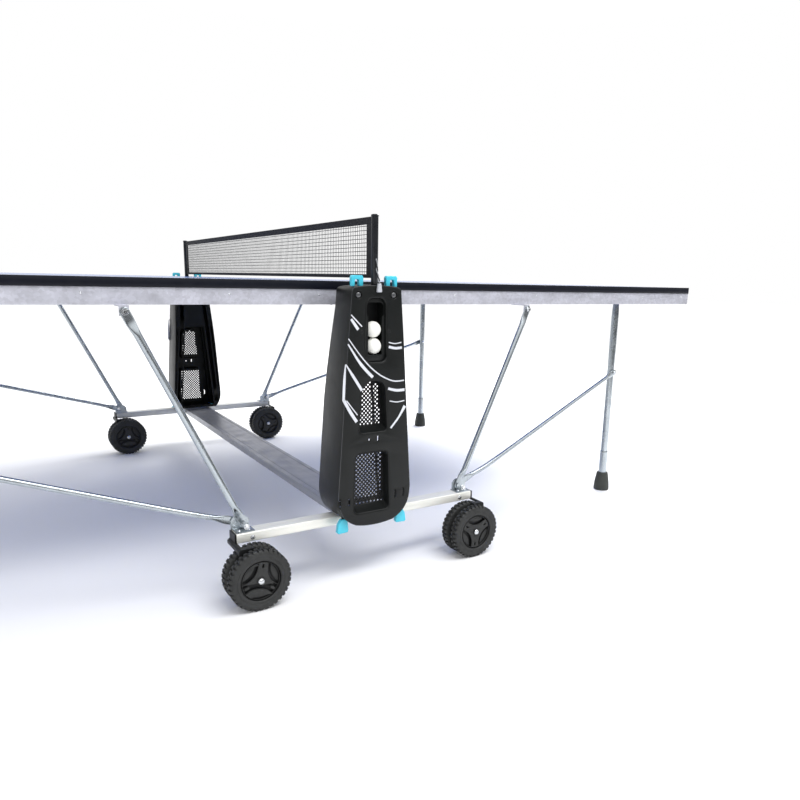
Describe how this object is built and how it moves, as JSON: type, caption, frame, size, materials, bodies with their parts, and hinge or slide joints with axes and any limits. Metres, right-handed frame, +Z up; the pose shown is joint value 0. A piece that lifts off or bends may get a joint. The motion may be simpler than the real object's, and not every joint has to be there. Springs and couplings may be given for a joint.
{
  "type": "folding table tennis table",
  "caption": "Folding roll-away table tennis table: hinged halves on a wheeled chassis with net, side housings that store balls, folding legs and caster wheels.",
  "frame": {"origin": "on the floor, at the middle of the whole table's box, under the net", "axes": "+X along the table's length, +Y across it away from the viewer's side, +Z up"},
  "size_m": [2.74, 1.797, 0.9173],
  "materials": {
    "beam_steel": "pale silver, satin",
    "rail_steel": "grooved mid-grey, satin",
    "zinc_steel": "zinc plated, bright satin",
    "skirt_steel": "galvanised, fine speckle",
    "shell_plastic": "moulded black, fine texture",
    "wheel_rubber": "dark grey, lugged tread",
    "playing_top": "blue playing surface, satin",
    "edge_profile": "near-black, satin",
    "foot_rubber": "matte",
    "post_tube": "dark grey, satin",
    "latch_plastic": "cyan, moulded",
    "net_mesh": "black woven mesh",
    "net_cord": "twisted dark cord",
    "cord_clip": "pale grey",
    "ball_plastic": "white, matte"
  },
  "bodies": {
    "chassis": {"near_beam": "beam_steel", "far_beam": "beam_steel", "center_rail": "rail_steel", "wheel_carrier_near_left": "shell_plastic", "wheel_carrier_near_right": "shell_plastic", "wheel_carrier_far_left": "shell_plastic", "wheel_carrier_far_right": "shell_plastic", "axle_near_left": "zinc_steel", "axle_near_right": "zinc_steel", "axle_far_left": "zinc_steel", "axle_far_right": "zinc_steel", "hinge_bracket_near_left": "zinc_steel", "hinge_bracket_near_right": "zinc_steel", "hinge_bracket_far_left": "zinc_steel", "hinge_bracket_far_right": "zinc_steel", "module_shell_near": "shell_plastic", "module_shell_far": "shell_plastic", "module_front_near": "shell_plastic", "module_front_far": "shell_plastic", "net_post_near": "post_tube", "net_post_far": "post_tube", "net": "net_mesh", "tension_cord": "net_cord", "cord_end": "cord_clip", "ball_lower": "ball_plastic", "ball_upper": "ball_plastic"},
    "carriage_left": {"roller_shaft_left": "zinc_steel"},
    "carriage_right": {"roller_shaft_right": "zinc_steel"},
    "half_left": {"panel_left": "playing_top", "edge_trim_left": "edge_profile", "frame_left": "skirt_steel"},
    "half_right": {"panel_right": "playing_top", "edge_trim_right": "edge_profile", "frame_right": "skirt_steel"},
    "leg_left": {"leg_frame_left": "zinc_steel", "foot_near_left": "foot_rubber", "foot_far_left": "foot_rubber"},
    "leg_right": {"leg_frame_right": "zinc_steel", "foot_near_right": "foot_rubber", "foot_far_right": "foot_rubber"},
    "arm_near_left": {"arm_near_left": "zinc_steel"},
    "arm_near_right": {"arm_near_right": "zinc_steel"},
    "arm_far_left": {"arm_far_left": "zinc_steel"},
    "arm_far_right": {"arm_far_right": "zinc_steel"},
    "strut_near_left": {"strut_near_left": "zinc_steel"},
    "strut_near_right": {"strut_near_right": "zinc_steel"},
    "strut_far_left": {"strut_far_left": "zinc_steel"},
    "strut_far_right": {"strut_far_right": "zinc_steel"},
    "latch_near_left": {"latch_near_left": "latch_plastic"},
    "latch_near_right": {"latch_near_right": "latch_plastic"},
    "latch_far_left": {"latch_far_left": "latch_plastic"},
    "latch_far_right": {"latch_far_right": "latch_plastic"},
    "wheel_near_left_outer": {"wheel_near_left_outer": "wheel_rubber"},
    "wheel_near_left_inner": {"wheel_near_left_inner": "wheel_rubber"},
    "wheel_near_right_outer": {"wheel_near_right_outer": "wheel_rubber"},
    "wheel_near_right_inner": {"wheel_near_right_inner": "wheel_rubber"},
    "wheel_far_left_outer": {"wheel_far_left_outer": "wheel_rubber"},
    "wheel_far_left_inner": {"wheel_far_left_inner": "wheel_rubber"},
    "wheel_far_right_outer": {"wheel_far_right_outer": "wheel_rubber"},
    "wheel_far_right_inner": {"wheel_far_right_inner": "wheel_rubber"}
  },
  "joints": [
    {"name": "slide_left", "type": "slide", "parent": "chassis", "child": "carriage_left", "axis": [-0.0835, 0, -0.9965], "range_m": [0, 0.52]},
    {"name": "slide_right", "type": "slide", "parent": "chassis", "child": "carriage_right", "axis": [0.0835, 0, -0.9965], "range_m": [0, 0.52]},
    {"name": "tilt_left", "type": "hinge", "parent": "carriage_left", "child": "half_left", "pos_m": [-0.04, 0.0145, 0.722], "axis": [0, 1, 0], "range_deg": [0, 86]},
    {"name": "tilt_right", "type": "hinge", "parent": "carriage_right", "child": "half_right", "pos_m": [0.04, 0.0145, 0.722], "axis": [0, -1, 0], "range_deg": [0, 86]},
    {"name": "leg_fold_left", "type": "hinge", "parent": "half_left", "child": "leg_left", "pos_m": [-1.133, 0.0145, 0.738], "axis": [0, -1, 0], "range_deg": [0, 68.8]},
    {"name": "leg_fold_right", "type": "hinge", "parent": "half_right", "child": "leg_right", "pos_m": [1.133, 0.0145, 0.738], "axis": [0, 1, 0], "range_deg": [0, 68.8]},
    {"name": "arm_swing_near_left", "type": "hinge", "parent": "chassis", "child": "arm_near_left", "pos_m": [-0.32, -0.7888, 0.184], "axis": [0, 1, 0], "range_deg": [0, 42.5]},
    {"name": "arm_swing_near_right", "type": "hinge", "parent": "chassis", "child": "arm_near_right", "pos_m": [0.32, -0.7888, 0.184], "axis": [0, -1, 0], "range_deg": [0, 42.5]},
    {"name": "arm_swing_far_left", "type": "hinge", "parent": "chassis", "child": "arm_far_left", "pos_m": [-0.32, 0.8178, 0.184], "axis": [0, 1, 0], "range_deg": [0, 42.5]},
    {"name": "arm_swing_far_right", "type": "hinge", "parent": "chassis", "child": "arm_far_right", "pos_m": [0.32, 0.8178, 0.184], "axis": [0, -1, 0], "range_deg": [0, 42.5]},
    {"name": "strut_swing_near_left", "type": "hinge", "parent": "chassis", "child": "strut_near_left", "pos_m": [-0.337, -0.7792, 0.19], "axis": [0, 1, 0], "range_deg": [0, 79.4]},
    {"name": "strut_swing_near_right", "type": "hinge", "parent": "chassis", "child": "strut_near_right", "pos_m": [0.337, -0.7792, 0.19], "axis": [0, -1, 0], "range_deg": [0, 79.4]},
    {"name": "strut_swing_far_left", "type": "hinge", "parent": "chassis", "child": "strut_far_left", "pos_m": [-0.337, 0.8082, 0.19], "axis": [0, 1, 0], "range_deg": [0, 79.4]},
    {"name": "strut_swing_far_right", "type": "hinge", "parent": "chassis", "child": "strut_far_right", "pos_m": [0.337, 0.8082, 0.19], "axis": [0, -1, 0], "range_deg": [0, 79.4]},
    {"name": "latch_pull_near_left", "type": "slide", "parent": "chassis", "child": "latch_near_left", "axis": [-0.0648, 0, -0.9979], "range_m": [0, 0.012], "stiffness_N_per_m": 400, "springref_m": -0.01},
    {"name": "latch_pull_near_right", "type": "slide", "parent": "chassis", "child": "latch_near_right", "axis": [0.0648, 0, -0.9979], "range_m": [0, 0.012], "stiffness_N_per_m": 400, "springref_m": -0.01},
    {"name": "latch_pull_far_left", "type": "slide", "parent": "chassis", "child": "latch_far_left", "axis": [-0.0648, 0, -0.9979], "range_m": [0, 0.012], "stiffness_N_per_m": 400, "springref_m": -0.01},
    {"name": "latch_pull_far_right", "type": "slide", "parent": "chassis", "child": "latch_far_right", "axis": [0.0648, 0, -0.9979], "range_m": [0, 0.012], "stiffness_N_per_m": 400, "springref_m": -0.01},
    {"name": "spin_near_left_outer", "type": "hinge", "parent": "chassis", "child": "wheel_near_left_outer", "pos_m": [-0.3145, -0.8815, 0.075], "axis": [0, 1, 0], "continuous": true},
    {"name": "spin_near_left_inner", "type": "hinge", "parent": "chassis", "child": "wheel_near_left_inner", "pos_m": [-0.3145, -0.8395, 0.075], "axis": [0, 1, 0], "continuous": true},
    {"name": "spin_near_right_outer", "type": "hinge", "parent": "chassis", "child": "wheel_near_right_outer", "pos_m": [0.3145, -0.8815, 0.075], "axis": [0, 1, 0], "continuous": true},
    {"name": "spin_near_right_inner", "type": "hinge", "parent": "chassis", "child": "wheel_near_right_inner", "pos_m": [0.3145, -0.8395, 0.075], "axis": [0, 1, 0], "continuous": true},
    {"name": "spin_far_left_outer", "type": "hinge", "parent": "chassis", "child": "wheel_far_left_outer", "pos_m": [-0.3145, 0.7465, 0.075], "axis": [0, 1, 0], "continuous": true},
    {"name": "spin_far_left_inner", "type": "hinge", "parent": "chassis", "child": "wheel_far_left_inner", "pos_m": [-0.3145, 0.7885, 0.075], "axis": [0, 1, 0], "continuous": true},
    {"name": "spin_far_right_outer", "type": "hinge", "parent": "chassis", "child": "wheel_far_right_outer", "pos_m": [0.3145, 0.7465, 0.075], "axis": [0, 1, 0], "continuous": true},
    {"name": "spin_far_right_inner", "type": "hinge", "parent": "chassis", "child": "wheel_far_right_inner", "pos_m": [0.3145, 0.7885, 0.075], "axis": [0, 1, 0], "continuous": true}
  ],
  "couplings": [
    {"joint": "slide_left", "follows": "tilt_left", "m_per_rad": 0.34631},
    {"joint": "slide_right", "follows": "tilt_right", "m_per_rad": 0.34631},
    {"joint": "leg_fold_left", "follows": "tilt_left", "ratio": 0.7993},
    {"joint": "leg_fold_right", "follows": "tilt_right", "ratio": 0.7993},
    {"joint": "arm_swing_near_left", "follows": "tilt_left", "ratio": 0.49337},
    {"joint": "arm_swing_far_left", "follows": "tilt_left", "ratio": 0.49337},
    {"joint": "arm_swing_near_right", "follows": "tilt_right", "ratio": 0.49337},
    {"joint": "arm_swing_far_right", "follows": "tilt_right", "ratio": 0.49337},
    {"joint": "strut_swing_near_left", "follows": "tilt_left", "ratio": 0.92209},
    {"joint": "strut_swing_far_left", "follows": "tilt_left", "ratio": 0.92209},
    {"joint": "strut_swing_near_right", "follows": "tilt_right", "ratio": 0.92209},
    {"joint": "strut_swing_far_right", "follows": "tilt_right", "ratio": 0.92209}
  ]
}
